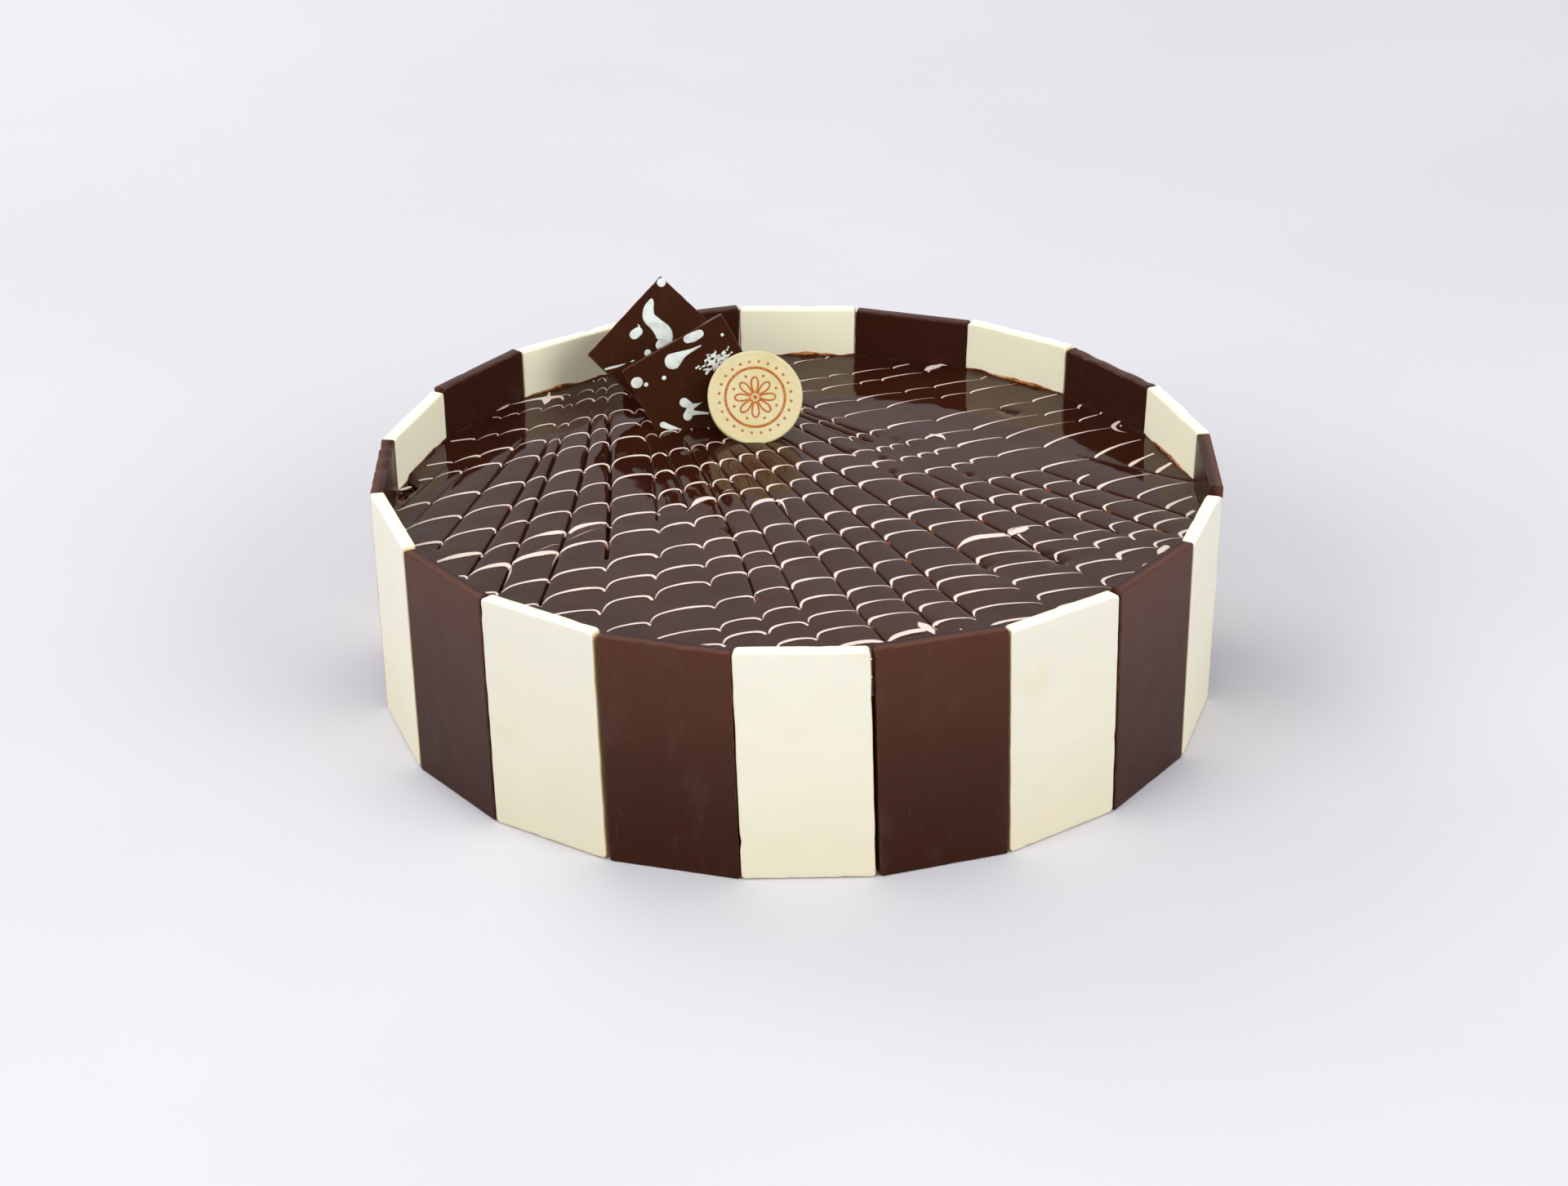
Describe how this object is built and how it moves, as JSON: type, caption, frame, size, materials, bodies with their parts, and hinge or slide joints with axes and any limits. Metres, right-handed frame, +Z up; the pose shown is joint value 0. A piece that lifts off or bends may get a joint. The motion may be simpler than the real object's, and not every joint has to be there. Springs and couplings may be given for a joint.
{
  "type": "marble cake",
  "caption": "Round marble cake walled with upright white and dark chocolate panels, topped with feathered dark glaze, chocolate squares and a cream disc.",
  "frame": {"origin": "centre of the cake's base, on the surface it stands on", "axes": "+Z up; -Y towards the front, where a white panel is in the middle; +X to the right seen from the front"},
  "size_m": [0.2526, 0.253, 0.0946],
  "materials": {
    "sponge": "open, matte marbled crumb",
    "glaze": "mirror-gloss dark chocolate glaze with feathered cream lines",
    "white_chocolate": "satin cream, faintly stained",
    "dark_chocolate": "satin brown with faint bloom and paler edges",
    "square_chocolate": "satin dark wafer with white splashes",
    "disc_chocolate": "satin cream with an orange-brown printed ornament"
  },
  "bodies": {
    "root": {"sponge_body": "sponge", "glaze": "glaze", "panel_white_01": "white_chocolate", "panel_dark_02": "dark_chocolate", "panel_white_03": "white_chocolate", "panel_dark_04": "dark_chocolate", "panel_white_05": "white_chocolate", "panel_dark_06": "dark_chocolate", "panel_white_07": "white_chocolate", "panel_dark_08": "dark_chocolate", "panel_white_09": "white_chocolate", "panel_dark_10": "dark_chocolate", "panel_white_11": "white_chocolate", "panel_dark_12": "dark_chocolate", "panel_white_13": "white_chocolate", "panel_dark_14": "dark_chocolate", "panel_white_15": "white_chocolate", "panel_dark_16": "dark_chocolate", "panel_white_17": "white_chocolate", "panel_dark_18": "dark_chocolate", "panel_white_19": "white_chocolate", "panel_dark_20": "dark_chocolate", "chocolate_square_back": "square_chocolate", "chocolate_square_front": "square_chocolate", "chocolate_disc": "disc_chocolate"}
  },
  "joints": []
}
